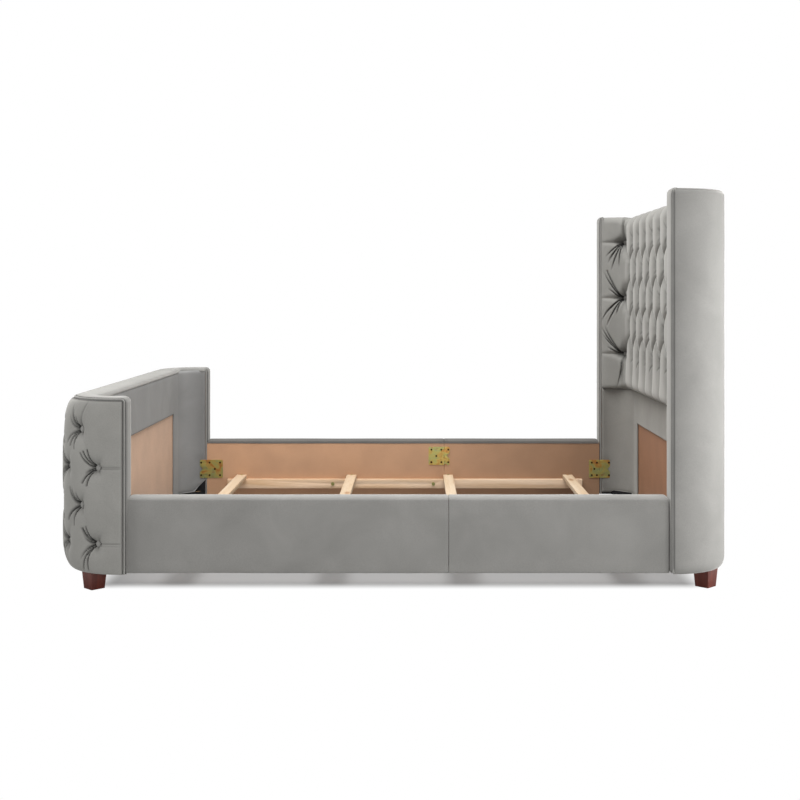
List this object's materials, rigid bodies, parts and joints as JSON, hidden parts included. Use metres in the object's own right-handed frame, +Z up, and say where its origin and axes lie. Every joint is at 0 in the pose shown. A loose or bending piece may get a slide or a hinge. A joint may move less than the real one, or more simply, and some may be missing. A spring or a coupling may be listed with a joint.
{
  "type": "shelter bed",
  "caption": "Upholstered shelter (wingback) bed in grey velvet: buttoned wing headboard, lower buttoned footboard, padded hook-on side rails, pine slats.",
  "frame": {"origin": "on the floor, below the middle of the whole bed's length and width", "axes": "+X from the footboard to the headboard, +Y to the bed's left side seen from above with the headboard to the right, +Z up"},
  "size_m": [2.316, 1.8, 1.373],
  "materials": {
    "grey_velvet": "short-pile polyester velvet",
    "fibreboard": "bare pressed fibreboard",
    "plywood": "rough poplar plywood",
    "pine": "planed, unfinished pine",
    "stained_leg_wood": "red-brown stain and satin lacquer",
    "black_lining": "black non-woven lining cloth",
    "yellow_zinc_steel": "yellow-passivated zinc plate"
  },
  "bodies": {
    "root": {"headboard_bottom_plate": "plywood", "headboard_wing_ribs": "plywood", "headboard_front_posts": "pine", "headboard_back_posts": "pine", "headboard_cross_rails": "pine", "headboard_inner_board": "fibreboard", "headboard_back_board": "plywood", "headboard_corner_boards": "plywood", "headboard_wing_boards": "fibreboard", "headboard_left_outer_cover": "grey_velvet", "headboard_right_outer_cover": "grey_velvet", "headboard_back_outer_cover": "grey_velvet", "headboard_borders": "grey_velvet", "headboard_welts": "grey_velvet", "headboard_lower_cover": "grey_velvet", "headboard_wing_lower_covers": "grey_velvet", "headboard_back_tufted_pad": "grey_velvet", "headboard_left_wing_pad": "grey_velvet", "headboard_right_wing_pad": "grey_velvet", "headboard_buttons": "grey_velvet", "headboard_dust_cover": "black_lining", "footboard_bottom_plate": "plywood", "footboard_top_plate": "plywood", "footboard_uprights": "pine", "footboard_inner_board": "fibreboard", "footboard_front_board": "plywood", "footboard_corner_boards": "plywood", "footboard_wing_boards": "fibreboard", "footboard_inner_cover": "grey_velvet", "footboard_wing_covers": "grey_velvet", "footboard_front_tufted_pad": "grey_velvet", "footboard_left_tufted_pad": "grey_velvet", "footboard_right_tufted_pad": "grey_velvet", "footboard_buttons": "grey_velvet", "footboard_border": "grey_velvet", "footboard_welts": "grey_velvet", "footboard_dust_cover": "black_lining", "left_rail_boards": "fibreboard", "right_rail_boards": "fibreboard", "rail_cores": "pine", "left_foot_rail_cover": "grey_velvet", "left_head_rail_cover": "grey_velvet", "right_foot_rail_cover": "grey_velvet", "right_head_rail_cover": "grey_velvet", "left_ledgers": "pine", "right_ledgers": "pine", "slat_1": "pine", "slat_2": "pine", "slat_3": "pine", "slat_4": "pine", "slat_centre_legs": "pine", "slat_screws": "yellow_zinc_steel", "ledger_bolts": "yellow_zinc_steel", "head_legs": "stained_leg_wood", "foot_legs": "stained_leg_wood", "leg_bolts": "yellow_zinc_steel", "hook_plates": "yellow_zinc_steel", "slot_plates": "yellow_zinc_steel", "plate_screws": "yellow_zinc_steel"}
  },
  "joints": []
}
